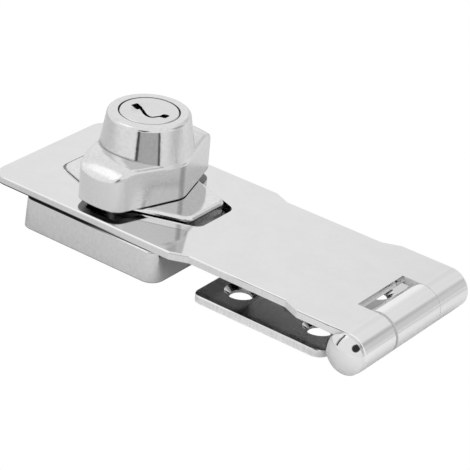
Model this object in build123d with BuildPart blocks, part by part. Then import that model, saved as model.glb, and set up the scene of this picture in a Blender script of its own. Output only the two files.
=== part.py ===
from build123d import *
from math import atan2, cos, degrees, radians, sin, sqrt, tan
import os

# A keyed locking hasp, all chromed metal.
# A cast housing is screwed to a door, and a hinge leaf to the frame beside it.
# A flat steel strap is hinged to the leaf and lies over the housing.
# The housing's six-sided boss stands up through a window of the same shape in the strap.
# A winged knob on the boss is as long as the window. Turned across it, as here, it traps the strap.
# A key turns the plug in the knob, which drives a slide into the housing so that the knob can't turn.
#
# Frame: millimetres, Z up, Z = 0 on the mounting plane, and the knob's axis at X = Y = 0.
# The strap runs from its free end at -X to the hinge at +X.

# Strap
strap_length = 114.3
strap_nose = 31.6
strap_width = 43.4
strap_waist_width = 39.4
strap_thickness = 2.0
strap_corner_radius = 4.5
strap_edge_round = 0.5
strap_gap = 0.3
waist_after_window = 2.3
waist_before_hinge = 14.55
waist_step_length = 4.6
window_end_gap = 1.95
window_side_gap = 0.47
window_shift = 0.85
window_end_radius = 2.6
window_middle_radius = 3.0

# Housing
base_length = 43.0
base_width = 44.6
base_shift = 0.5
base_height = 8.2
base_draft = 3.5
base_corner_radius = 3.6
cavity_corner_radius = 2.5
base_wall = 2.2
base_roof = 2.4
base_edge_round = 0.6
boss_half_length = 20.3
boss_end_half = 7.0
boss_middle_half = 14.35
boss_end_radius = 2.6
boss_middle_radius = 3.0
boss_rise = 3.6
boss_wall = 2.4
boss_edge_round = 1.1
hub_wall = 3.55
hub_height = 4.4
post_inset_x = 6.1
post_inset_y = 5.3
post_radius = 4.6
screw_hole_radius = 2.3
screw_sink_radius = 4.1
screw_sink_angle = 82
rib_thickness = 1.8

# Knob
knob_gap = 0.25
wing_end_gap = 2.95
wing_side_gap_at_ends = 0.35
wing_side_gap_at_middle = 2.3
wing_middle_radius = 5.4
wing_end_radius = 3.6
wing_height = 11.2
wing_crown_length = 6.4
wing_crown_radius = 7.4
wing_dome_radius = 45.0
wing_edge_round = 1.2
wing_skin = 2.0
wing_pocket_depth = 4.6
cone_foot_radius = 11.65
cone_top_radius = 10.3
cone_height = 8.1
cone_rim_round = 1.1
cone_root = 2.4
spindle_radius = 9.0
spindle_fit = 0.05
pocket_land = 2.0
bore_mouth_round = 0.2

# Plug and its wafers
plug_face_radius = 7.5
plug_face_depth = 2.0
plug_body_radius = 6.0
plug_fit = 0.06
plug_face_fit = 0.14
plug_seat_gap = 0.05
plug_face_bevel = 0.3
plug_end_gap = 0.2
keyway_depth = 17.0
keyway_points = [(-3.9, 0.1), (-2.3, -0.1), (-0.6, -1.1), (0.9, -1.8), (2.1, -1.9), (2.9, -1.0), (3.8, 0.2)]
keyway_neck_width = 0.9
keyway_blade_x = -3.85
keyway_blade_y = -0.1
keyway_blade_length = 2.3
keyway_blade_width = 2.1
keyway_blade_turn = -10.0
keyway_groove_x = 4.3
keyway_groove_y = 0.4
keyway_groove_size = 2.1
dimple_radius = 4.6
dimple_depth = 0.6
wafer_count = 5
wafer_pitch = 2.5
wafer_thickness = 0.9
wafer_width = 5.0
wafer_slot_fit = 0.06
wafer_groove_fit = 0.12
wafer_travel = 1.2
wafer_window_length = 7.4
wafer_window_width = 3.6
wafer_window_shift = 0.5
wafer_window_radius = 0.4
lug_length = 1.0
lug_reach = 4.2
lug_x = 0.6
spring_radius = 0.72
spring_wire = 0.26
spring_length = 2.3
spring_turns = 3.5
spring_pocket_fit = 0.1
groove_margin = 0.25
groove_bottom = 3.5
retainer_width = 3.0
retainer_reach = 0.8
retainer_drop = 3.5
retainer_start = 3.2
retainer_groove_fit = 0.1
retainer_groove_height = 1.8

# Locking slide under the plug
crank_offset = 1.6
crank_radius = 1.2
crank_fit = 0.1
crank_hole_gap = 0.4
plug_angle = 90.0
slide_width = 6.0
slide_nose_height = 3.0
slide_fit = 0.1
slide_foot_reach = 6.35
slide_tail = 5.5
slide_nose_setback = 0.15
notch_side_fit = 0.2
notch_end_gap = 0.55
web_thickness = 1.3
channel_margin = 0.4

# Retaining plate under the housing
plate_thickness = 1.6
plate_setback = 0.6
plate_gap = 1.2
tab_width = 5.0
tab_length = 3.5
tab_fit = 0.3
stop_width = 3.0
stop_gap = 0.45
stop_drop = 0.2
plate_screw_y = 6.3
plate_screw_radius = 1.5
plate_screw_length = 5.2
plate_screw_head_radius = 2.8
plate_screw_angle = 90
thread_fit = 0.05
screw_slot_width = 0.8
screw_slot_depth = 0.8
washer_thickness = 0.4
washer_margin = 0.1
washer_inner_gap = 0.25
washer_width = 2.6

# Hinge
notch_half = 9.4
notch_margin = 0.9
knuckle_near_gap = 0.9
knuckle_far_gap = 0.15
roll_seam_angle = 60.0
pin_fit = 0.05
pin_head_setback = 0.15
pin_head_rim = 0.8
pin_head_height = 2.9
pin_tail_flare = 0.95
pin_tail_height = 1.1
pin_end_gap = 0.05

# Hinge leaf
leaf_inset = 0.7
leaf_base_gap = 10.3
leaf_shoulder_gap = 1.7
leaf_corner_radius = 2.6
leaf_inner_radius = 3.2
leaf_edge_round = 0.4
leaf_hole_margin = 8.0
leaf_hole_shoulder_margin = 7.2
leaf_hole_inset = 9.2
leaf_hole_radius = 2.8
leaf_sink_radius = 4.1
leaf_sink_angle = 90

# Heights and places that follow from the sizes above
strap_bottom = base_height + strap_gap
strap_top = strap_bottom + strap_thickness
boss_top = base_height + boss_rise
knob_bottom = boss_top + knob_gap
wing_top = knob_bottom + wing_height
knob_top = wing_top + cone_height
cavity_top = base_height - base_roof
boss_cavity_top = boss_top - base_roof
hub_bore_radius = spindle_radius + spindle_fit
hub_radius = hub_bore_radius + hub_wall
post_x = base_length / 2 - post_inset_x
post_y = base_width / 2 - post_inset_y
window_half_length = boss_half_length + window_end_gap
window_middle_half = boss_middle_half + window_side_gap
boss_slope = (boss_middle_half - boss_end_half) / boss_half_length
window_end_half = window_middle_half - boss_slope * window_half_length
wing_half_length = window_half_length - wing_end_gap
wing_end_half = window_end_half - wing_side_gap_at_ends
wing_middle_half = window_middle_half - wing_side_gap_at_middle
wing_crown_half = wing_half_length - wing_crown_length
plate_radius = hub_radius - plate_setback
tab_reach = plate_radius + tab_length
plate_top = hub_height - plate_gap
plate_bottom = plate_top - plate_thickness
slide_nose_bottom = hub_height + 2 * slide_fit
slide_top = slide_nose_bottom + slide_nose_height
web_bottom = slide_top + slide_fit
web_top = web_bottom + web_thickness
plug_seat = knob_top - plug_face_depth - plug_seat_gap
plug_bottom = web_top + plug_end_gap
crank_start_x = -crank_offset * cos(radians(plug_angle / 2))
crank_start_y = -crank_offset * sin(radians(plug_angle / 2))
slide_travel = -2 * crank_start_x
notch_reach = spindle_radius - slide_nose_setback + slide_travel + notch_end_gap
first_wafer_z = plug_seat - groove_bottom + wafer_thickness
retainer_z = first_wafer_z - (wafer_count - 1) * wafer_pitch - retainer_drop
hinge_radius = strap_top / 2
hinge_bore = hinge_radius - strap_thickness
hinge_x = strap_length - strap_nose - hinge_radius
waist_start = window_shift + window_half_length + waist_after_window
waist_end = hinge_x - waist_before_hinge
leaf_shoulder = hinge_x - hinge_radius - leaf_shoulder_gap
leaf_start = base_shift + base_length / 2 + leaf_base_gap
leaf_length = leaf_shoulder - leaf_start
leaf_hole_pitch = leaf_length - leaf_hole_margin - leaf_hole_shoulder_margin
notch_x = hinge_x - hinge_radius - notch_margin
half_strap = strap_width / 2
half_leaf = half_strap - leaf_inset
retainer_radius = plug_body_radius + retainer_reach
wing_end_y = sqrt(wing_half_length**2 - wing_end_half**2)
crank_bottom = slide_nose_bottom + crank_fit
lug_back = lug_x - lug_length / 2
pocket_back = lug_back - spring_length - 2 * spring_pocket_fit
spring_y = lug_reach - spring_radius

os.makedirs("parts", exist_ok=True)


def wafer_z(number):
    """Height of the middle of a wafer, counted from the one next to the plug's face."""
    return first_wafer_z - number * wafer_pitch


def wafer_side(number):
    """Wafers spring out by turns to the +X and the -X side."""
    return 1 if number % 2 == 0 else -1


def keep(part, name):
    """Label a finished piece and write it to its own file."""
    part.label = name
    export_step(part, f"parts/{name}.step")


def long_hexagon(half_length, end_half, middle_half, end_radius, middle_radius, inset=0):
    """Six-sided plan along X with square ends, widest at the middle, drawn in by the inset, then rounded."""
    with BuildLine() as outline:
        Polyline(
            (-half_length, -end_half), (0, -middle_half), (half_length, -end_half),
            (half_length, end_half), (0, middle_half), (-half_length, end_half),
            close=True,
        )
    make_face(outline.edges())
    if inset:
        offset(amount=-inset, kind=Kind.INTERSECTION)
    corners = vertices().group_by(Axis.X)
    fillet(corners[0] + corners[2], end_radius)
    fillet(vertices().filter_by(lambda v: abs(v.X) < 0.001), middle_radius)


def rolled_knuckle(seam_side):
    """End view of a sheet edge rolled round the pin, with its seam above (1) or below (-1) the axis."""
    with Locations((hinge_x, hinge_radius)):
        Circle(hinge_radius)
        Circle(hinge_bore, mode=Mode.SUBTRACT)
    reach = 2 * hinge_radius
    seam_rise = reach / tan(radians(roll_seam_angle))
    with BuildLine() as wedge:
        Polyline(
            (hinge_x, hinge_radius),
            (hinge_x, hinge_radius + seam_side * reach),
            (hinge_x - reach, hinge_radius + seam_side * reach),
            (hinge_x - reach, hinge_radius + seam_side * seam_rise),
            close=True,
        )
    make_face(wedge.edges(), mode=Mode.SUBTRACT)


# Housing: a hollow casting with drafted walls, a six-sided boss, and a hub that carries the knob
with BuildPart() as base_housing:
    with BuildSketch():
        with Locations((base_shift, 0)):
            RectangleRounded(base_length, base_width, base_corner_radius)
    extrude(amount=base_height, taper=base_draft)
    fillet(faces().sort_by(Axis.Z)[-1].edges(), base_edge_round)
    with BuildSketch(Plane.XY.offset(cavity_top)):
        long_hexagon(boss_half_length, boss_end_half, boss_middle_half, boss_end_radius, boss_middle_radius)
    extrude(amount=boss_top - cavity_top)
    fillet(faces().sort_by(Axis.Z)[-1].edges(), boss_edge_round)

    # The underside is open: one pocket under the roof and a deeper one inside the boss
    with BuildSketch():
        with Locations((base_shift, 0)):
            RectangleRounded(base_length - 2 * base_wall, base_width - 2 * base_wall, cavity_corner_radius)
    extrude(amount=cavity_top, taper=base_draft, mode=Mode.SUBTRACT)
    with BuildSketch(Plane.XY.offset(cavity_top)):
        long_hexagon(
            boss_half_length, boss_end_half, boss_middle_half, boss_end_radius, boss_middle_radius,
            inset=boss_wall,
        )
    extrude(amount=boss_cavity_top - cavity_top, mode=Mode.SUBTRACT)

    # Hub for the spindle, ribs out to the screw posts, and two stops for the plate's tab
    with BuildSketch(Plane.XY.offset(hub_height)):
        Circle(hub_radius)
    extrude(amount=boss_cavity_top - hub_height)
    with BuildSketch(Plane.XY.offset(hub_height)):
        rib_turn = degrees(atan2(post_y, post_x))
        with Locations(Rotation(0, 0, rib_turn), Rotation(0, 0, -rib_turn)):
            Rectangle(2 * sqrt(post_x**2 + post_y**2), rib_thickness)
    extrude(amount=cavity_top - hub_height)
    with BuildSketch():
        with GridLocations(2 * post_x, 2 * post_y, 2, 2):
            Circle(post_radius)
    extrude(amount=cavity_top)
    stop_side = tab_width / 2 + tab_fit
    stop_start = plate_radius + stop_gap
    stop_foot = plate_bottom - stop_drop
    with BuildSketch(Plane.XY.offset(stop_foot)):
        with Locations((-stop_start, stop_side)):
            Rectangle(tab_length, stop_width, align=(Align.MAX, Align.MIN))
    extrude(amount=boss_cavity_top - stop_foot)
    with BuildSketch(Plane.XY.offset(stop_foot)):
        with Locations((stop_side, -stop_start)):
            Rectangle(stop_width, tab_length, align=(Align.MIN, Align.MAX))
    extrude(amount=cavity_top - stop_foot)

    # Bore for the spindle, with a notch for the slide at each end of the quarter turn
    with BuildSketch():
        Circle(hub_bore_radius)
    extrude(amount=boss_top, mode=Mode.SUBTRACT)
    notch_width = slide_width + 2 * notch_side_fit
    with BuildSketch():
        Rectangle(notch_reach, notch_width, align=(Align.MIN, Align.CENTER))
        Rectangle(notch_width, notch_reach, align=(Align.CENTER, Align.MIN))
    extrude(amount=slide_top + notch_side_fit, mode=Mode.SUBTRACT)

    # Countersunk holes for the four mounting screws, hidden while the strap is shut
    with Locations(Plane.XY.offset(base_height)):
        with GridLocations(2 * post_x, 2 * post_y, 2, 2):
            CounterSinkHole(screw_hole_radius, screw_sink_radius, counter_sink_angle=screw_sink_angle)
keep(base_housing.part, "base_housing")


# Strap: one steel blank with a window, a stepped waist and two ends rolled round the pin
with BuildPart() as hasp_strap:
    half_waist = strap_waist_width / 2
    with BuildSketch(Plane.XY.offset(strap_bottom)) as blank:
        with BuildLine():
            Polyline(
                (-strap_nose, -half_strap), (waist_start, -half_strap),
                (waist_start + waist_step_length, -half_waist), (waist_end - waist_step_length, -half_waist),
                (waist_end, -half_strap), (hinge_x, -half_strap), (hinge_x, half_strap),
                (waist_end, half_strap), (waist_end - waist_step_length, half_waist),
                (waist_start + waist_step_length, half_waist), (waist_start, half_strap),
                (-strap_nose, half_strap),
                close=True,
            )
        make_face()
        fillet(blank.vertices().group_by(Axis.X)[0], strap_corner_radius)
    extrude(amount=strap_thickness)
    with BuildSketch(Plane.XZ):
        rolled_knuckle(1)
    extrude(amount=half_strap, both=True)
    top_edges = edges().filter_by(Plane.XY).group_by(Axis.Z)[-1]
    fillet(top_edges.filter_by(lambda e: e.center().X < hinge_x - hinge_bore), strap_edge_round)
    with BuildSketch(Plane.XY.offset(strap_bottom)):
        with BuildSketch(mode=Mode.PRIVATE) as window:
            long_hexagon(
                window_half_length, window_end_half, window_middle_half,
                window_end_radius, window_middle_radius,
            )
        with Locations((window_shift, 0)):
            add(window.sketch)
    extrude(amount=strap_thickness, mode=Mode.SUBTRACT)
    with BuildSketch():
        with Locations((notch_x, 0)):
            Rectangle(2 * hinge_radius + notch_margin, 2 * notch_half, align=(Align.MIN, Align.CENTER))
    extrude(amount=strap_top, mode=Mode.SUBTRACT)
keep(hasp_strap.part, "hasp_strap")


# Hinge leaf: folded under the strap, with its tongue rolled round the pin between the strap's two ends
with BuildPart() as hinge_leaf:
    tongue_near = -notch_half + knuckle_near_gap
    tongue_far = notch_half - knuckle_far_gap
    with BuildSketch() as blank:
        with Locations((leaf_start, 0)):
            Rectangle(leaf_length, 2 * half_leaf, align=(Align.MIN, Align.CENTER))
        fillet(blank.vertices().group_by(Axis.X)[0], leaf_corner_radius)
        fillet(blank.vertices().group_by(Axis.X)[-1], leaf_inner_radius)
        with BuildLine():
            Polyline(
                (leaf_shoulder - leaf_inner_radius, tongue_near), (hinge_x, tongue_near),
                (hinge_x, tongue_far), (leaf_shoulder - leaf_inner_radius, tongue_far),
                close=True,
            )
        make_face()
    extrude(amount=strap_thickness)
    top_edges = edges().filter_by(Plane.XY).group_by(Axis.Z)[-1]
    fillet(top_edges.filter_by(lambda e: e.center().X < leaf_shoulder - leaf_edge_round), leaf_edge_round)
    with BuildSketch(Plane.XZ.offset(-tongue_far)):
        rolled_knuckle(-1)
    extrude(amount=tongue_far - tongue_near)
    with Locations(Plane.XY.offset(strap_thickness)):
        with Locations((leaf_start + leaf_hole_margin + leaf_hole_pitch / 2, 0)):
            with GridLocations(leaf_hole_pitch, 2 * (half_leaf - leaf_hole_inset), 2, 2):
                CounterSinkHole(leaf_hole_radius, leaf_sink_radius, counter_sink_angle=leaf_sink_angle)
keep(hinge_leaf.part, "hinge_leaf")


# Hinge pin: a domed head at the near end, its far end peened over
with BuildPart() as hinge_pin:
    head_start = half_strap + pin_end_gap
    tail_start = half_strap + pin_end_gap
    tail_end = tail_start + pin_tail_height
    tail_side = hinge_x + hinge_bore + pin_tail_flare
    head_side = hinge_x + hinge_radius - pin_head_setback
    pin_radius = hinge_bore - pin_fit
    with BuildSketch(Plane.XY.offset(hinge_radius)):
        with BuildLine():
            Line((hinge_x, -head_start - pin_head_height), (hinge_x, tail_end))
            TangentArc((hinge_x, tail_end), (tail_side, tail_start), tangent=(1, 0))
            Polyline(
                (tail_side, tail_start),
                (hinge_x + pin_radius, tail_start), (hinge_x + pin_radius, -head_start),
                (head_side, -head_start), (head_side, -head_start - pin_head_rim),
            )
            TangentArc(
                (hinge_x, -head_start - pin_head_height), (head_side, -head_start - pin_head_rim),
                tangent=(1, 0),
            )
        make_face()
    revolve(axis=Axis((hinge_x, 0, hinge_radius), (0, 1, 0)))
keep(hinge_pin.part, "hinge_pin")


# Knob: wings set across the boss, a cone round the plug, and a spindle down through the hub
with BuildPart() as knob:
    with BuildSketch(Plane.XY.offset(knob_bottom)) as plan:
        with BuildLine():
            Polyline((wing_end_half, -wing_end_y), (wing_middle_half, 0), (wing_end_half, wing_end_y))
            RadiusArc((wing_end_half, wing_end_y), (-wing_end_half, wing_end_y), -wing_half_length)
            Polyline((-wing_end_half, wing_end_y), (-wing_middle_half, 0), (-wing_end_half, -wing_end_y))
            RadiusArc((-wing_end_half, -wing_end_y), (wing_end_half, -wing_end_y), -wing_half_length)
        make_face()
        fillet(plan.vertices().filter_by(lambda v: abs(v.Y) < 0.001), wing_middle_radius)
        fillet(plan.vertices().filter_by(lambda v: abs(v.Y) > wing_end_y - 0.001), wing_end_radius)
    extrude(amount=wing_height)
    # Their top is slightly domed, level at the cone, and rounds down to their ends
    dome_axis_z = wing_top - wing_dome_radius
    with BuildSketch(Plane.YZ):
        with BuildLine():
            crown = wing_half_length + wing_end_radius
            drop = wing_crown_radius - sqrt(wing_crown_radius**2 - (wing_half_length - wing_crown_half) ** 2)
            Polyline((-wing_crown_half, wing_top), (wing_crown_half, wing_top))
            RadiusArc((wing_crown_half, wing_top), (wing_half_length, wing_top - drop), wing_crown_radius)
            Polyline(
                (wing_half_length, wing_top - drop), (crown, wing_top - drop), (crown, dome_axis_z),
                (-crown, dome_axis_z), (-crown, wing_top - drop), (-wing_half_length, wing_top - drop),
            )
            RadiusArc((-wing_half_length, wing_top - drop), (-wing_crown_half, wing_top), wing_crown_radius)
        make_face()
    revolve(axis=Axis((0, 0, dome_axis_z), (0, 1, 0)), mode=Mode.INTERSECT)
    upper_edges = edges().filter_by(lambda e: e.center().Z > knob_bottom + 0.001)
    fillet(upper_edges.filter_by(Axis.Z, reverse=True), wing_edge_round)

    # Cone round the plug
    cone_angle = degrees(atan2(cone_foot_radius - cone_top_radius, cone_height))
    with BuildSketch(Plane.XY.offset(wing_top - cone_root)):
        Circle(cone_foot_radius + cone_root * tan(radians(cone_angle)))
    extrude(amount=cone_root + cone_height, taper=cone_angle)
    fillet(faces().sort_by(Axis.Z)[-1].edges(), cone_rim_round)

    # Pockets under the wings, and the spindle between them
    with BuildSketch(Plane.XY.offset(knob_bottom)):
        add(plan.sketch.faces())
        offset(amount=-wing_skin, kind=Kind.INTERSECTION)
        Circle(spindle_radius + pocket_land, mode=Mode.SUBTRACT)
    extrude(amount=wing_pocket_depth, mode=Mode.SUBTRACT)
    with BuildSketch(Plane.XY.offset(plate_top)):
        Circle(spindle_radius)
    extrude(amount=wing_top - plate_top)

    # Stepped bore for the plug, with four broached grooves that the wafers spring into
    with BuildSketch(Plane.XY.offset(plug_seat)):
        Circle(plug_face_radius + plug_face_fit)
    extrude(amount=knob_top - plug_seat, mode=Mode.SUBTRACT)
    with BuildSketch(Plane.XY.offset(web_top)):
        Circle(plug_body_radius + plug_fit)
    extrude(amount=plug_seat - web_top, mode=Mode.SUBTRACT)
    groove_reach = plug_body_radius + wafer_travel + groove_margin
    groove_foot = first_wafer_z - (wafer_count - 1) * wafer_pitch - wafer_pitch / 2
    with BuildSketch(Plane.XY.offset(groove_foot)):
        Rectangle(2 * groove_reach, wafer_width + 2 * wafer_groove_fit)
        Rectangle(wafer_width + 2 * wafer_groove_fit, 2 * groove_reach)
    extrude(amount=plug_seat - groove_foot, mode=Mode.SUBTRACT)
    with BuildSketch(Plane.XY.offset(retainer_z - retainer_groove_height / 2)):
        Circle(retainer_radius + retainer_groove_fit)
    extrude(amount=retainer_groove_height, mode=Mode.SUBTRACT)

    # Below the plug: a hole for its crank, and a channel for the slide, open at the spindle's end and side
    with BuildSketch(Plane.XY.offset(web_bottom)):
        Circle(crank_offset + crank_radius + crank_hole_gap)
    extrude(amount=web_thickness, mode=Mode.SUBTRACT)
    channel_tail = slide_tail + channel_margin
    with BuildSketch(Plane.XY.offset(plate_top)):
        with Locations((-channel_tail, 0)):
            Rectangle(
                channel_tail + spindle_radius, slide_width + 2 * slide_fit, align=(Align.MIN, Align.CENTER)
            )
    extrude(amount=web_bottom - plate_top, mode=Mode.SUBTRACT)
    with BuildSketch(Plane.XY.offset(plate_top)):
        with GridLocations(0, 2 * plate_screw_y, 1, 2):
            Circle(plate_screw_radius + thread_fit)
    extrude(amount=plate_screw_length - plate_thickness + thread_fit, mode=Mode.SUBTRACT)
    fillet(faces().sort_by(Axis.Z)[-1].edges().sort_by(SortBy.RADIUS)[0], bore_mouth_round)
keep(knob.part, "knob")


# Plug: a face, a body slotted for the wafers, a keyway, and a crank that moves the slide
with BuildPart() as lock_plug:
    with BuildSketch(Plane.XY.offset(plug_seat + plug_seat_gap)):
        Circle(plug_face_radius)
    extrude(amount=plug_face_depth)
    chamfer(faces().sort_by(Axis.Z)[-1].edges(), plug_face_bevel)
    with BuildSketch(Plane.XY.offset(plug_bottom)):
        Circle(plug_body_radius)
    extrude(amount=plug_seat + plug_seat_gap - plug_bottom)
    with BuildSketch(Plane.XY.offset(crank_bottom)):
        with Locations((crank_start_x, crank_start_y)):
            Circle(crank_radius)
    extrude(amount=plug_bottom - crank_bottom)

    # A shallow dish round a winding keyway
    dish_radius = (dimple_radius**2 + dimple_depth**2) / (2 * dimple_depth)
    with Locations((0, 0, knob_top + dish_radius - dimple_depth)):
        Sphere(dish_radius, mode=Mode.SUBTRACT)
    with BuildSketch(Plane.XY.offset(knob_top)):
        with BuildLine() as keyway_line:
            Spline(keyway_points)
        trace(keyway_line.edges(), line_width=keyway_neck_width)
        with Locations((keyway_blade_x, keyway_blade_y)):
            RectangleRounded(
                keyway_blade_length, keyway_blade_width, keyway_neck_width / 2, rotation=keyway_blade_turn
            )
        with Locations((keyway_groove_x, keyway_groove_y)):
            RectangleRounded(keyway_groove_size, keyway_groove_size, keyway_neck_width / 2)
    extrude(amount=-keyway_depth, mode=Mode.SUBTRACT)

    # Slots across the plug for the wafers, each widened on one side for its spring
    for i in range(wafer_count):
        push = wafer_side(i)
        with BuildSketch(Plane.XY.offset(wafer_z(i) - wafer_thickness / 2 - wafer_slot_fit)):
            Rectangle(2 * plug_body_radius, wafer_width + 2 * wafer_slot_fit)
            lug_end = lug_x + lug_length / 2 + wafer_travel + spring_pocket_fit
            with Locations((push * (pocket_back + lug_end) / 2, 0)):
                Rectangle(
                    lug_end - pocket_back, lug_reach + spring_pocket_fit, align=(Align.CENTER, Align.MIN)
                )
        extrude(amount=wafer_thickness + 2 * wafer_slot_fit, mode=Mode.SUBTRACT)
        with BuildSketch(Plane.XY.offset(wafer_z(i) - spring_radius - spring_pocket_fit)):
            spring_end = lug_back + wafer_travel
            with Locations((push * (pocket_back + spring_end) / 2, spring_y)):
                Rectangle(spring_end - pocket_back, 2 * (spring_radius + spring_pocket_fit))
        extrude(amount=2 * (spring_radius + spring_pocket_fit), mode=Mode.SUBTRACT)
    with BuildSketch(Plane.XY.offset(retainer_z - wafer_thickness / 2 - wafer_slot_fit)):
        with Locations((0, retainer_start - wafer_slot_fit)):
            Rectangle(retainer_width + 2 * wafer_slot_fit, plug_body_radius, align=(Align.CENTER, Align.MIN))
    extrude(amount=wafer_thickness + 2 * wafer_slot_fit, mode=Mode.SUBTRACT)
keep(lock_plug.part, "lock_plug")


# Retainer: a small tongue in the plug's side that runs in a ring groove and keeps the plug from lifting out
with BuildPart() as plug_retainer:
    with BuildSketch(Plane.XY.offset(retainer_z - wafer_thickness / 2)):
        Circle(retainer_radius)
        with Locations((0, retainer_start)):
            Rectangle(retainer_width, retainer_radius, align=(Align.CENTER, Align.MIN), mode=Mode.INTERSECT)
    extrude(amount=wafer_thickness)
keep(plug_retainer.part, "plug_retainer")


# Wafers: flush with the plug as when the right key is in
# Each has a window for the key and a lug for its spring
for i in range(wafer_count):
    push = wafer_side(i)
    with BuildPart() as wafer:
        with BuildSketch(Plane.XY.offset(wafer_z(i) - wafer_thickness / 2)):
            Circle(plug_body_radius - wafer_slot_fit)
            Rectangle(2 * plug_body_radius, wafer_width, mode=Mode.INTERSECT)
            with Locations((push * lug_x, 0)):
                Rectangle(lug_length, lug_reach, align=(Align.CENTER, Align.MIN))
            with Locations((push * wafer_window_shift, 0)):
                RectangleRounded(
                    wafer_window_length, wafer_window_width, wafer_window_radius, mode=Mode.SUBTRACT
                )
        extrude(amount=wafer_thickness)
    keep(wafer.part, f"wafer_{i + 1}")

    # Its spring: a short coil of square-looking wire between the lug and the end of the pocket
    with BuildPart() as wafer_spring:
        with BuildLine() as coil:
            Helix(
                pitch=(spring_length - spring_wire) / spring_turns,
                height=spring_length - spring_wire,
                radius=spring_radius - spring_wire / 2,
                center=(push * (lug_back - spring_pocket_fit - spring_wire / 2), spring_y, wafer_z(i)),
                direction=(-push, 0, 0),
            )
        wire = coil.edges()[0]
        with BuildSketch(Plane(origin=wire @ 0, z_dir=wire % 0)):
            Rectangle(spring_wire, spring_wire)
        sweep(path=wire)
    keep(wafer_spring.part, f"wafer_spring_{i + 1}")


# Slide: its nose enters the housing's notch when the crank moves it out
with BuildPart() as locking_slide:
    with BuildSketch(Plane.XY.offset(plate_top + slide_fit)):
        with Locations((-slide_tail, 0)):
            Rectangle(slide_tail + slide_foot_reach, slide_width, align=(Align.MIN, Align.CENTER))
    extrude(amount=slide_top - plate_top - slide_fit)
    with BuildSketch(Plane.XY.offset(slide_nose_bottom)):
        Circle(spindle_radius - slide_nose_setback)
        Rectangle(spindle_radius, slide_width, align=(Align.MIN, Align.CENTER), mode=Mode.INTERSECT)
    extrude(amount=slide_nose_height)
    with BuildSketch(Plane.XY.offset(plate_top)):
        with Locations((crank_start_x, crank_radius + crank_start_y + crank_offset)):
            Rectangle(
                2 * (crank_radius + crank_fit), slide_width + crank_radius,
                align=(Align.CENTER, Align.MAX),
            )
    extrude(amount=slide_top - plate_top, mode=Mode.SUBTRACT)
keep(locking_slide.part, "locking_slide")


# Retaining plate: screwed to the end of the spindle, with a tab that meets the housing's two stops
with BuildPart() as stop_plate:
    with BuildSketch(Plane.XY.offset(plate_bottom)):
        Circle(plate_radius)
        Rectangle(tab_reach, tab_width, align=(Align.MAX, Align.CENTER))
    extrude(amount=plate_thickness)
    with Locations(Plane.XY.offset(plate_bottom).rotated((180, 0, 0))):
        with GridLocations(0, 2 * plate_screw_y, 1, 2):
            CounterSinkHole(
                plate_screw_radius + thread_fit, plate_screw_head_radius + thread_fit,
                counter_sink_angle=plate_screw_angle,
            )
keep(stop_plate.part, "stop_plate")


# Two countersunk screws with slotted heads
for i, side in enumerate((1, -1)):
    with BuildPart() as plate_screw:
        with BuildSketch(Plane.XZ.offset(-side * plate_screw_y)):
            with BuildLine():
                Polyline(
                    (0, plate_bottom), (plate_screw_head_radius, plate_bottom),
                    (plate_screw_radius, plate_bottom + plate_screw_head_radius - plate_screw_radius),
                    (plate_screw_radius, plate_bottom + plate_screw_length),
                    (0, plate_bottom + plate_screw_length),
                    close=True,
                )
            make_face()
        revolve(axis=Axis((0, side * plate_screw_y, 0), (0, 0, 1)))
        with BuildSketch(Plane.XY.offset(plate_bottom)):
            with Locations((0, side * plate_screw_y)):
                Rectangle(2 * plate_screw_head_radius, screw_slot_width)
        extrude(amount=screw_slot_depth, mode=Mode.SUBTRACT)
    keep(plate_screw.part, f"plate_screw_{i + 1}")


# Conical spring washer between the plate and the hub, so that the knob turns with some drag
with BuildPart() as spring_washer:
    washer_inner = spindle_radius + washer_inner_gap
    washer_rise = plate_gap - washer_thickness - 2 * washer_margin
    with BuildSketch(Plane.XZ):
        with BuildLine():
            Polyline(
                (washer_inner, plate_top + washer_margin),
                (washer_inner, plate_top + washer_margin + washer_thickness),
                (washer_inner + washer_width, plate_top + washer_margin + washer_thickness + washer_rise),
                (washer_inner + washer_width, plate_top + washer_margin + washer_rise),
                close=True,
            )
        make_face()
    revolve(axis=Axis.Z)
keep(spring_washer.part, "spring_washer")
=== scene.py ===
# %% [markdown]
# # A keyed locking hasp in a light tent
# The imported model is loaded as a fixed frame: every node already stands where it belongs, in metres.
# This script gives each surface its finish, sets up the tent that polished metal needs, and places the
# camera where the photographer stood. Nothing here moves or resizes a part.

import math

import bmesh
import bpy
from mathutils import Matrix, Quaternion, Vector


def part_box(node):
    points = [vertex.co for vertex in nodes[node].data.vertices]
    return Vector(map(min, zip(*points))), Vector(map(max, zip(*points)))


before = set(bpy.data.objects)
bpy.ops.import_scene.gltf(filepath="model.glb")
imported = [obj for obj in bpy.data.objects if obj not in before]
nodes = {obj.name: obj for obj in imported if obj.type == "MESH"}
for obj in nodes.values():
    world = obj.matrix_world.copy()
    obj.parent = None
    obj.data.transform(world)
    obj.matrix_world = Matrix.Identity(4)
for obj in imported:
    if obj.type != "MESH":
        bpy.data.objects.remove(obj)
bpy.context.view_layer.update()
MM = 0.001

# %% [markdown]
# ## Sizes to work from
# A finish often stops at an edge, such as where the strap's polished top turns down into its underside.
# The places of such edges come from the boxes of the parts. A few sizes that no box shows, such as the
# thickness of the sheet and the rise of the boss, are the model's own. All are in millimetres.

# %% Measure the parts that the masks need
strap_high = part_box("hasp_strap")[1] / MM
leaf_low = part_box("hinge_leaf")[0] / MM
plug_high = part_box("lock_plug")[1] / MM
pin_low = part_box("hinge_pin")[0] / MM
boss_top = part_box("base_housing")[1].z / MM

sheet_thickness = 2.0
boss_rise = 3.6
wing_height = 11.45
cone_foot_radius = 11.65
window_middle_half, window_slope, window_shift = 14.82, 0.362, 0.85

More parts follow.
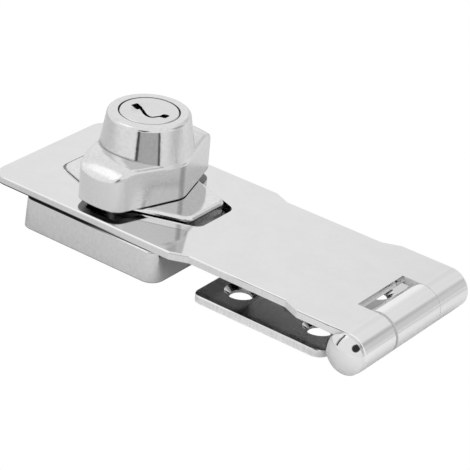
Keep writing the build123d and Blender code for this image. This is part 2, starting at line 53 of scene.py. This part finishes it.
strap_under = strap_high.z - sheet_thickness
leaf_top = leaf_low.z + sheet_thickness
housing_roof = boss_top - boss_rise
wing_top = boss_top + wing_height
plug_radius, plug_face = plug_high.x, plug_high.z
hinge_z = strap_high.z / 2
hinge_x = strap_high.x - hinge_z
print("strap underside at", round(strap_under, 2), "mm, hinge axis at x", round(hinge_x, 2), "mm")

# %% [markdown]
# ## The camera
# The photograph is taken from above and to the right of the hasp with a long lens, and leans a little.
# The place of the camera comes from matching the strap's edges, the plug and the hinge to the model.
# It is written as an aim point on the strap, two angles, a distance and a lean.

# %% Place the camera
aim_point = Vector((31.26, -3.57, 10.5)) * MM
camera_azimuth = math.radians(34.81)
camera_elevation = math.radians(28.45)
camera_distance = 558.6 * MM
camera_lean = math.radians(5.39)
camera_lens = 178.1

towards_camera = Vector((
    math.sin(camera_azimuth) * math.cos(camera_elevation),
    -math.cos(camera_azimuth) * math.cos(camera_elevation),
    math.sin(camera_elevation),
))
camera_data = bpy.data.cameras.new("camera")
camera_data.lens = camera_lens
camera_data.sensor_width = 36.0
camera_data.clip_start, camera_data.clip_end = 0.01, 20.0
camera = bpy.data.objects.new("camera", camera_data)
bpy.context.scene.collection.objects.link(camera)
camera.location = aim_point + towards_camera * camera_distance
camera.rotation_mode = "QUATERNION"
camera.rotation_quaternion = (-towards_camera).to_track_quat("-Z", "Y") @ Quaternion((0, 0, 1), camera_lean)
bpy.context.scene.camera = camera
bpy.context.scene.view_settings.view_transform = "Standard"
print("camera at", [round(c / MM) for c in camera.location], "mm")

# %% [markdown]
# ## Shader maths as plain expressions
# Blender's node editor would need dozens of Math nodes for a worn or brushed metal. A small class wraps
# one socket, so that an expression such as 1 - mask adds the node it needs. Every other node comes from
# one method that takes its type, its settings and the values or links of its sockets.

# %% A socket that can be calculated with
class Wire:
    """One output socket in a node tree."""

    def __init__(self, tree, socket):
        self.tree = tree
        self.socket = socket

    def math(self, operation, first, second):
        return self.tree.node("ShaderNodeMath", {"operation": operation}, {0: first, 1: second})

    def __add__(self, other):
        return self.math("ADD", self, other)

    def __radd__(self, other):
        return self.math("ADD", other, self)

    def __sub__(self, other):
        return self.math("SUBTRACT", self, other)

    def __rsub__(self, other):
        return self.math("SUBTRACT", other, self)

    def __mul__(self, other):
        return self.math("MULTIPLY", self, other)

    def __rmul__(self, other):
        return self.math("MULTIPLY", other, self)

    def __abs__(self):
        return self.math("ABSOLUTE", self, 0.0)


# %% [markdown]
# A node tree then offers the few patterns that the finishes are made of: slopes between two values,
# bands, mixed colours, noise, and the place on the part in millimetres.

# %% A node tree with its usual patterns
class Tree:
    """The node tree of a material or of the world, started empty."""

    def __init__(self, owner):
        owner.use_nodes = True
        self.nodes = owner.node_tree.nodes
        self.links = owner.node_tree.links
        self.nodes.clear()

    def node(self, kind, settings, sockets, out=0):
        """Add a node, set it up, link or fill its sockets, and return one of its outputs if it has any."""
        made = self.nodes.new(kind)
        for name, value in settings.items():
            setattr(made, name, value)
        for name, value in sockets.items():
            if isinstance(value, Wire):
                self.links.new(value.socket, made.inputs[name])
            else:
                made.inputs[name].default_value = value
        return Wire(self, made.outputs[out]) if len(made.outputs) else None

    def vector(self, operation, first, second, out=0):
        """A vector sum, product or the like. Length, distance and dot product come out at 1."""
        return self.node("ShaderNodeVectorMath", {"operation": operation}, {0: first, 1: second}, out=out)

    def step(self, value, low, high):
        """0 below low, 1 above high and a smooth slope between them."""
        return self.node(
            "ShaderNodeMapRange", {"interpolation_type": "SMOOTHSTEP"},
            {"Value": value, "From Min": low, "From Max": high},
        )

    def fade(self, value, low, high):
        """1 below low, 0 above high and a smooth slope between them."""
        return 1 - self.step(value, low, high)

    def band(self, value, start, full, leave, end):
        """1 from full to leave, with slopes to 0 at start and end."""
        return self.step(value, start, full) * self.fade(value, leave, end)

    def mix_color(self, share, first, second):
        """The first colour at share 0 and the second at share 1."""
        return self.node("ShaderNodeMix", {"data_type": "RGBA"}, {0: share, 6: first, 7: second}, out=2)

    def even_color(self, tone):
        """A grey from one value."""
        return self.node("ShaderNodeCombineColor", {}, {0: tone, 1: tone, 2: tone})

    def stretched(self, place, factors):
        """A place with each axis multiplied by its own factor."""
        return self.vector("MULTIPLY", place, factors)

    def noise(self, place, size, detail=2.0, roughness=0.5):
        """Cloudy pattern from 0 to 1 whose features are about size metres wide."""
        sockets = {"Vector": place, "Scale": 1.0 / size, "Detail": detail, "Roughness": roughness}
        return self.node("ShaderNodeTexNoise", {}, sockets)

    def object_place(self):
        """The place on the part, in metres."""
        return self.node("ShaderNodeTexCoord", {}, {}, out="Object")

    def axes(self, place):
        """The three parts of a place or direction."""
        made = self.node("ShaderNodeSeparateXYZ", {}, {0: place}).socket.node
        return [Wire(self, output) for output in made.outputs]

    def millimetres(self, place):
        """The three parts of a place in metres, turned into millimetres."""
        return self.axes(self.stretched(place, (1 / MM, 1 / MM, 1 / MM)))

    def facing(self, axis):
        """1 where the surface faces along an axis, either way, and 0 where it runs along it."""
        return abs(self.axes(self.node("ShaderNodeTexCoord", {}, {}, out="Normal"))[axis])

    def seen_by_lens(self):
        """1 for what the camera sees directly, and 0 for reflections and for light."""
        return self.node("ShaderNodeLightPath", {}, {}, out="Is Camera Ray")


# %% [markdown]
# ## Chrome as a recipe
# Polished chrome is a mirror, so its look comes from small departures from a mirror: the slow waviness of
# the metal under the plating, a fine grain, hairline scratches, and patches that a cloth left duller.
# One function makes that recipe. Each part passes its own amounts, and may pass the places where it is
# darker, lighter or rougher. Many of these colours are painted shade in recesses and between faces that lie
# close together, or painted light.

# %% The chrome recipe
def grey(value):
    """A grey that is a trace cooler than neutral, as chrome is."""
    return (value, value, value * 1.004, 1.0)


cloud_size, smear_size, hair_width, score_width = 14 * MM, 2.2 * MM, 0.09 * MM, 0.22 * MM
hair_strength = 0.3


def metal(
    name, colour, gloss, wave=(1.4, 0.004), grain=(0.13, 0.0006), mottle=(6.0, 0.03), shade=None, matt=None,
):
    """A metal. wave and grain are (size, height) in mm, mottle is (size, share that a spot is darker).

    shade lists the (mask, colour, added roughness) of places that differ. matt is 1 where nothing is plated.
    """
    material = bpy.data.materials.new(name)
    tree = Tree(material)
    place = tree.object_place()
    waves = tree.noise(place, wave[0] * MM, detail=1.0)
    grains = tree.noise(place, grain[0] * MM, detail=2.0, roughness=0.6)
    cloud = tree.noise(place, cloud_size, detail=4.0, roughness=0.6)
    smear = tree.noise(tree.stretched(place, (0.3, 1, 1)), smear_size, detail=3.0)
    hair = tree.step(tree.noise(tree.stretched(place, (0.05, 1, 1)), hair_width, detail=1.0), 0.62, 0.74)
    hair = hair * tree.step(cloud, 0.4, 0.65) * hair_strength
    roughness = gloss + tree.step(cloud, 0.45, 0.75) * 0.03 + tree.step(smear, 0.5, 0.8) * 0.02 + hair * 0.1
    height = waves * wave[1] + grains * grain[1] - hair * 0.0006
    spots = tree.step(tree.noise(place, mottle[0] * MM, detail=4.0, roughness=0.7), 0.3, 0.7)
    color = tree.mix_color(spots, colour, [c * (1 - mottle[1]) for c in colour[:3]] + [1.0])
    for mask, place_colour, rougher in shade(tree, place) if shade else ():
        color = tree.mix_color(mask, color, place_colour)
        roughness = roughness + mask * rougher
    normal = tree.node("ShaderNodeBump", {}, {"Strength": 1.0, "Distance": MM, "Height": height})
    metallic = 1 - matt(tree, place) if matt else 1.0
    surface = tree.node(
        "ShaderNodeBsdfPrincipled", {},
        {"Base Color": color, "Metallic": metallic, "Roughness": roughness, "Normal": normal},
    )
    tree.node("ShaderNodeOutputMaterial", {}, {"Surface": surface})
    return material


# %% [markdown]
# ## Where the plating is thin, and where light and shade are painted
# The strap's underside, the leaf's upper face and the hollows of the castings are painted darker, as shade,
# and are a little rougher. The sheared edges of the sheet keep fine upright scores. The joint round the plug
# and the keyway are painted dark, as shade.
# A small function for each part reads the place on it, in millimetres, and lists the places that differ.
# The first masks serve several parts.

# %% Masks for walls, sheared edges and rings
def upright(tree):
    """1 on walls and 0 on level faces."""
    return tree.fade(tree.facing(2), 0.25, 0.6)


def scores(tree, place):
    """Fine upright scores, as a shear leaves them."""
    return tree.step(tree.noise(tree.stretched(place, (1, 1, 0.06)), score_width, detail=3.0), 0.35, 0.65)


def from_axis(tree, place):
    """Distance from the knob's axis."""
    return tree.vector("LENGTH", tree.stretched(place, (1 / MM, 1 / MM, 0)), (0, 0, 0), out=1)


def knuckle_ends(tree, place):
    """1 on the sheared ends of the rolled knuckles, which are matt."""
    px = tree.millimetres(place)[0]
    return tree.step(tree.facing(1), 0.85, 0.95) * tree.step(px, hinge_x - 6, hinge_x - 5)


# %% [markdown]
# The strap and the leaf are painted lighter, a painted highlight, and a little rougher where they roll round
# the pin, and painted darker low on the barrel, as shade. On the strap in front of the boss, a light strip
# with a thin dark end is a painted reflection of the boss.

# %% Places on the sheet parts
def strap_places(tree, place):
    px, py, pz = tree.millimetres(place)
    front = 0 - py
    flat = tree.fade(px, hinge_x - 6, hinge_x - 4)
    barrel = tree.step(px, hinge_x - 1, hinge_x + 2)
    painted_shade_low_on_barrel = barrel * tree.fade(pz, 2, 8)
    underside = (1 - barrel) * tree.fade(pz, strap_under - 0.02, strap_under + 0.1)
    sheared = upright(tree) * flat * (1 - underside) * scores(tree, place)
    painted_shade_window_wall = upright(tree) * tree.band(px, 8, 11, 24, 25) * tree.fade(abs(py), 15.3, 16)
    painted_shade_lower_arris = tree.fade(pz, strap_under + 0.22, strap_under + 0.36)
    over_housing = tree.step(front, 20, 21) * tree.fade(px, 0, 16)
    from_window = (px - window_shift) * window_slope + front - window_middle_half
    before_boss = tree.band(px, 0.5, 2, 20, 22) * tree.step(front, 5, 6)
    painted_boss_reflection = before_boss * tree.fade(from_window, 2.9, 3.1)
    painted_reflection_end = before_boss * tree.band(from_window, 2.9, 3.1, 3.4, 3.6)
    return [
        # painted highlight: the barrel is lighter, and a little rougher, where the strap rolls round the pin
        (barrel, grey(0.84), 0.12),
        # painted shade low on the barrel
        (painted_shade_low_on_barrel, grey(0.66), 0.0),
        # painted reflection of the boss: a light strip and its thin dark end
        (painted_boss_reflection, grey(0.96), 0.0),
        (painted_reflection_end, grey(0.58), 0.0),
        # painted shade on the underside, which is also a little rougher
        (underside, grey(0.58), 0.05),
        (sheared, grey(0.78), 0.08),
        # painted shade on the walls of the window, and on the lower arris where it lies over the housing
        (painted_shade_window_wall, grey(0.30), 0.1),
        (painted_shade_lower_arris * over_housing, grey(0.06), 0.2),
    ]


def leaf_places(tree, place):
    px, py, pz = tree.millimetres(place)
    flat = tree.fade(px, hinge_x - 8, hinge_x - 5)
    upper = tree.step(pz, leaf_top - 0.1, leaf_top - 0.02)
    painted_shade_near_edge = tree.fade(py, leaf_low.y + 1.0, leaf_low.y + 2.6)
    edge = upright(tree) * flat * (1 - upper)
    return [
        # painted highlight where the leaf rolls round the pin, which is also a little rougher
        (1 - flat, grey(0.84), 0.1),
        # painted shade low on the barrel
        ((1 - flat) * tree.fade(pz, 2, 8), grey(0.66), 0.0),
        # painted shade on the upper face under the strap, darkest along the near edge
        (upper * flat, grey(0.64), 0.03),
        (upper * flat * painted_shade_near_edge, grey(0.36), 0.03),
        # painted light on the sheared edges, which also carry their own upright scores
        (edge, grey(0.96), 0.08),
        (edge * scores(tree, place), grey(0.84), 0.1),
    ]


# %% [markdown]
# The castings are dull on the knob's walls. Painted shade darkens the knob's hollow, one side of the foot of
# the cone, the joint round the plug, the inside of the keyway, the boss's end wall, the housing's edge under
# the strap and the housing's underside.

# %% Places on the castings and the plug
crease_way = math.radians(-115)


def knob_places(tree, place):
    px, py, pz = tree.millimetres(place)
    radius = from_axis(tree, place)
    wall = upright(tree) * tree.fade(pz, wing_top - 1.4, wing_top - 0.9)
    foot = cone_foot_radius
    # painted shade along the foot of the cone, on one side only
    crease = tree.band(radius, foot - 0.15, foot, foot + 0.3, foot + 0.6)
    crease = crease * tree.fade(pz, wing_top + 0.1, wing_top + 0.3)
    crease_side = tree.step(px * math.cos(crease_way) + py * math.sin(crease_way), 7, 9)
    hollow = tree.fade(pz, boss_top + 0.1, boss_top + 0.5)
    bore = tree.fade(radius, plug_radius + 0.14, plug_radius + 0.3)
    return [
        (wall, grey(0.77), 0.16),
        # painted shade in the crease at the foot of the cone
        (crease * crease_side, grey(0.5), 0.2),
        # painted shade in the hollow and in the joint round the plug
        (hollow, grey(0.12), 0.3),
        (bore, grey(0.06), 0.2),
    ]


def plug_places(tree, place):
    pz = tree.millimetres(place)[2]
    radius = from_axis(tree, place)
    rim = tree.step(radius, plug_radius - 0.25, plug_radius - 0.05)
    inside = tree.fade(pz, plug_face - 0.95, plug_face - 0.7) * tree.fade(radius, 5.6, 5.9)
    # painted shade: the plug's rim in the joint, and the inside of the keyway
    return [(rim, grey(0.10), 0.2), (inside, grey(0.05), 0.2)]


def housing_places(tree, place):
    px, py, pz = tree.millimetres(place)
    roof_edge = tree.band(pz, housing_roof - 0.45, housing_roof - 0.3, housing_roof, housing_roof + 0.1)
    under_strap = roof_edge * tree.step(0 - py, 20, 21) * tree.fade(px, -2, 16)
    boss_end = upright(tree) * tree.step(px, 18, 19.5) * tree.step(pz, housing_roof, housing_roof + 0.1)
    bottom = tree.fade(pz, 0, 0.3)
    return [
        # painted shade along the housing's edge under the strap
        (under_strap, grey(0.02), 0.3),
        # painted shade on the boss's end wall, with upright scores in it
        (boss_end, grey(0.46), 0.1),
        (boss_end * scores(tree, place), grey(0.34), 0.1),
        # painted shade on the underside, which is also rougher
        (bottom, grey(0.3), 0.25),
    ]


# %% [markdown]
# ## A finish for every part
# The castings are a little wavy and mottled under their chrome, and the sheet parts are flatter and
# glossier. Inside the lock there is brass, zinc plate, sintered steel and spring steel.

# %% Finishes of the castings, the sheet parts and the inner pieces
chrome = grey(0.74)
brass = (0.62, 0.42, 0.17, 1)
zinc = (0.50, 0.52, 0.54, 1)
sheet_wave = (3.0, 0.002)
finishes = {
    "base_housing": metal(
        "housing chrome", grey(0.77), 0.08, wave=(2.4, 0.006), grain=(0.2, 0.002), mottle=(1.0, 0.10),
        shade=housing_places,
    ),
    "knob": metal(
        "knob chrome", chrome, 0.11, wave=(1.1, 0.006), grain=(0.3, 0.005), mottle=(0.9, 0.10),
        shade=knob_places,
    ),
    "hasp_strap": metal(
        "strap chrome", chrome, 0.05, wave=sheet_wave, shade=strap_places, matt=knuckle_ends,
    ),
    "hinge_leaf": metal(
        "leaf chrome", chrome, 0.06, wave=sheet_wave, shade=leaf_places, matt=knuckle_ends,
    ),
    "hinge_pin": metal("pin chrome", chrome, 0.05, wave=(1.2, 0.002)),
    "lock_plug": metal("plug nickel", grey(0.70), 0.16, wave=(0.8, 0.002), shade=plug_places),
    "plug_retainer": metal("retainer brass", brass, 0.28),
    "locking_slide": metal("sintered steel", grey(0.36), 0.38, grain=(0.1, 0.004)),
    "stop_plate": metal("zinc plate", zinc, 0.3, grain=(0.1, 0.002)),
    "spring_washer": metal("spring strip", grey(0.3), 0.25),
}
for number in (1, 2):
    finishes[f"plate_screw_{number}"] = metal(f"zinc screw {number}", zinc, 0.28)
for number in range(1, 6):
    finishes[f"wafer_{number}"] = metal(f"stamped brass {number}", brass, 0.3)
    finishes[f"wafer_spring_{number}"] = metal(f"spring wire {number}", grey(0.42), 0.25)
for name, material in finishes.items():
    nodes[name].data.materials.clear()
    nodes[name].data.materials.append(material)
print("finishes:", len(finishes), "of", len(nodes), "nodes")

# %% [markdown]
# ## The light tent
# Chrome shows what is around it, so a light tent is mostly white. Two soft, darker columns stand behind
# the hinge, and draw the grey bands down the knob's corner and along the hinge barrel. Where the lamp
# stands behind the cloth, the wall glows a little, and the knob's wings bend that into their highlight.
# The photographer stands dark beside the lens, which puts the black spot on the pin's dome.
# Only reflections see all this, because the lens looks at plain white.

# %% The tent's walls
def direction(azimuth, elevation):
    """Direction at an azimuth from the X axis and a height above the horizon, both in degrees."""
    turn, rise = math.radians(azimuth), math.radians(elevation)
    return (math.cos(turn) * math.cos(rise), math.sin(turn) * math.cos(rise), math.sin(rise))


def within(tree, directions, middle, outer, inner):
    """0 beyond the outer angle from the middle direction and 1 within the inner one, both in degrees."""
    cosine = tree.vector("DOT_PRODUCT", directions, middle, out=1)
    return tree.step(cosine, math.cos(math.radians(outer)), math.cos(math.radians(inner)))


world = bpy.data.worlds.new("light tent")
bpy.context.scene.world = world
tree = Tree(world)
sight = tree.node("ShaderNodeTexCoord", {}, {}, out="Generated")
level = tree.vector("NORMALIZE", tree.stretched(sight, (1, 1, 0)), (0, 0, 0))
height = tree.axes(sight)[2]
barrel_column = within(tree, level, direction(40, 0), 24, 12) * 0.62
side_column = within(tree, level, direction(90, 0), 34, 8) * 0.27
column_height = (tree.step(height, 0.28, 0.44) * 0.45 + 0.55) * tree.fade(height, 0.46, 0.87)
glow = within(tree, sight, direction(-140, 55), 20, 8) * 0.32
photographer = within(tree, sight, direction(-64, 22), 16, 12) * 0.96
tone = (1 - (barrel_column + side_column) * column_height + glow) * (1 - photographer)
backdrop = tree.mix_color(tree.seen_by_lens(), tree.even_color(tone), (1, 1, 1, 1))
background = tree.node("ShaderNodeBackground", {}, {"Color": backdrop, "Strength": 1.0})
tree.node("ShaderNodeOutputWorld", {}, {"Surface": background})
print("tent walls from", len(tree.nodes), "nodes")

# %% [markdown]
# ## Stage pieces
# The table and the gap for the camera are flat cards of matt paper. They aren't part of the object.

# %% A card and its paper
def add_card(name, centre, across, up, material):
    """A flat stage piece from its centre and its two half sides, in millimetres."""
    corners = (centre - across - up, centre + across - up, centre + across + up, centre - across + up)
    sheet = bmesh.new()
    sheet.faces.new([sheet.verts.new(corner * MM) for corner in corners])
    mesh = bpy.data.meshes.new(name)
    sheet.to_mesh(mesh)
    sheet.free()
    mesh.materials.append(material)
    card = bpy.data.objects.new(name, mesh)
    bpy.context.scene.collection.objects.link(card)
    return card


def matt_card(tree, color, glow):
    """Matt card of a colour, with a faint light of its own."""
    return tree.node(
        "ShaderNodeBsdfPrincipled", {},
        {
            "Base Color": color, "Roughness": 1.0, "Specular IOR Level": 0.0,
            "Emission Color": glow, "Emission Strength": 1.0,
        },
    )


# %% [markdown]
# ## The table
# The lens sees the table as clean white paper, as in a catalogue picture. Everything else sees matt grey
# card with the hasp's own shadow on it, which makes the leaf and the right side of the housing dark.
# The card is painted lighter on the hinge's side and in front, as painted light, and a painted shadow lies on
# it round a spot past the hinge. Its faint glow, stronger beside the hinge, is painted light too. It
# lies a hair below the mounting plane, so that no face of a part lies in it.

# %% The table
table_half, table_top = 3000, -0.05
painted_shadow_spot = (150, 70, 0)
lightest = 0.94


def table_paper():
    """White paper for the lens, and grey card for everything else."""
    material = bpy.data.materials.new("table paper")
    tree = Tree(material)
    place = tree.stretched(tree.object_place(), (1 / MM, 1 / MM, 1 / MM))
    px, py = tree.axes(place)[:2]
    # painted shadow round one spot past the hinge
    painted_shadow = tree.fade(tree.vector("DISTANCE", place, painted_shadow_spot, out=1), 20, 100)
    # painted light: a faint glow over the card, stronger beside the hinge
    painted_glow_beside_hinge = tree.band(px, 70, 90, 105, 125)
    # painted light: the card is lighter towards the hinge's side and in front
    lightness = tree.step(px, -40, 80) * 0.24 + tree.step(0 - py, 50, 150) * 0.26 + 0.68
    lightness = lightness.math("MINIMUM", lightness, lightest) - painted_shadow * 0.30
    card = matt_card(tree, tree.even_color(lightness), tree.mix_color(painted_glow_beside_hinge, grey(0.06), grey(0.14)))
    paper = tree.node("ShaderNodeEmission", {}, {"Color": (1, 1, 1, 1), "Strength": 1.0})
    surface = tree.node("ShaderNodeMixShader", {}, {0: tree.seen_by_lens(), 1: card, 2: paper})
    tree.node("ShaderNodeOutputMaterial", {}, {"Surface": surface})
    return material


table = add_card(
    "table", Vector((0, 0, table_top)), Vector((table_half, 0, 0)), Vector((0, table_half, 0)), table_paper(),
)
print("stage piece:", table.name)

# %% [markdown]
# ## What darkens the reflections
# A camera looks into the tent through a gap between two dark edges, and the cone shows it as a grey patch
# with dark sides. The gap stands where the pin's head sees it edge on. Only reflections see it, and it
# casts no shadow.

# %% The gap for the camera
gap_half_width = 34
gap_low, gap_high = 8, 30
gap_shift = 9


def gap_paper(side):
    """Grey between two ragged black borders, which lie across the side direction."""
    material = bpy.data.materials.new("camera gap")
    tree = Tree(material)
    place = tree.object_place()
    px, py = tree.millimetres(place)[:2]
    across = (px * side.x + py * side.y - gap_shift) * (1 / gap_half_width)
    border = tree.step(abs(across) + tree.noise(place, 2.0 * MM) * 0.1, 0.78, 0.84)
    surface = matt_card(tree, (0, 0, 0, 1), tree.mix_color(border, grey(0.5), grey(0.03)))
    tree.node("ShaderNodeOutputMaterial", {}, {"Surface": surface})
    return material


pin_head = Vector((hinge_x, pin_low.y, hinge_z))
gap_way = Vector((towards_camera.x, towards_camera.y, 0)).normalized()
gap_side = Vector((-gap_way.y, gap_way.x, 0))
gap_middle = Vector((0, 0, (gap_low + gap_high) / 2))
gap = add_card(
    "camera gap",
    gap_way * pin_head.dot(gap_way) + gap_side * gap_shift + gap_middle,
    gap_side * gap_half_width, Vector((0, 0, (gap_high - gap_low) / 2)), gap_paper(gap_side),
)
gap.visible_camera = gap.visible_diffuse = gap.visible_shadow = False
print("stage piece:", gap.name)

# %% [markdown]
# ## A lamp
# The tent gives nearly all of the light. One weak, wide lamp high on the left adds a little direction.

# %% The overhead lamp
lamp_place = Vector((-350, -350, 500)) * MM
lamp_data = bpy.data.lights.new("overhead lamp", "AREA")
lamp_data.shape = "DISK"
lamp_data.size = 500 * MM
lamp_data.energy = 0.05
lamp = bpy.data.objects.new("overhead lamp", lamp_data)
bpy.context.scene.collection.objects.link(lamp)
lamp.location = lamp_place
lamp.rotation_mode = "QUATERNION"
lamp.rotation_quaternion = (aim_point - lamp_place).to_track_quat("-Z", "Y")
print("lamp of", round(lamp_data.energy, 3), "W")
